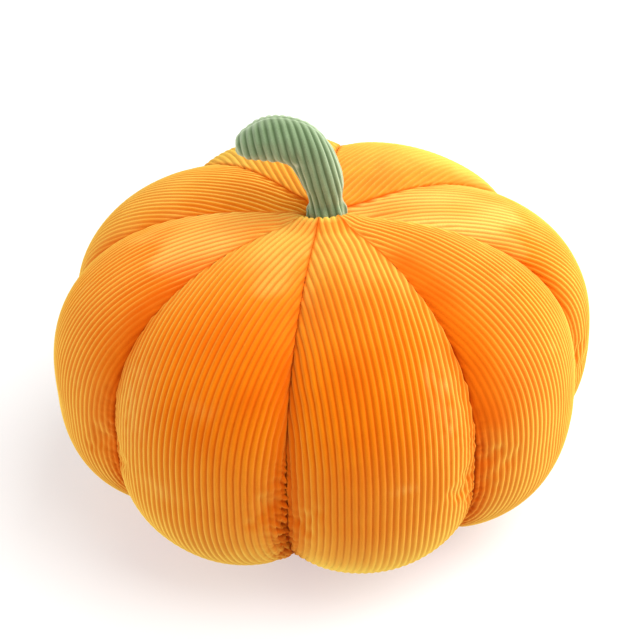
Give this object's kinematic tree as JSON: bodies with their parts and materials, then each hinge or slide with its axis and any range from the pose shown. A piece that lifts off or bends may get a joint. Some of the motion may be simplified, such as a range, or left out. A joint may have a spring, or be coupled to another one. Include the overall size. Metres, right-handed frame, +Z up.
{
  "type": "pumpkin cushion",
  "caption": "Round filled cushion shaped like a pumpkin, of wide-wale corduroy gores sewn into plump lobes, with a bent, filled stem on its top",
  "frame": {"origin": "Middle of the underside of the object's box, on the surface that it rests on", "axes": "+Z up; -Y toward the front, where the picture is taken from; the stem bends toward -X"},
  "size_m": [0.4038, 0.3946, 0.3113],
  "materials": {
    "body": "orange wide-wale corduroy, velvety pile",
    "stem": "sage green wide-wale corduroy, velvety pile"
  },
  "bodies": {
    "root": {"body": "body", "stem": "stem"}
  },
  "joints": []
}
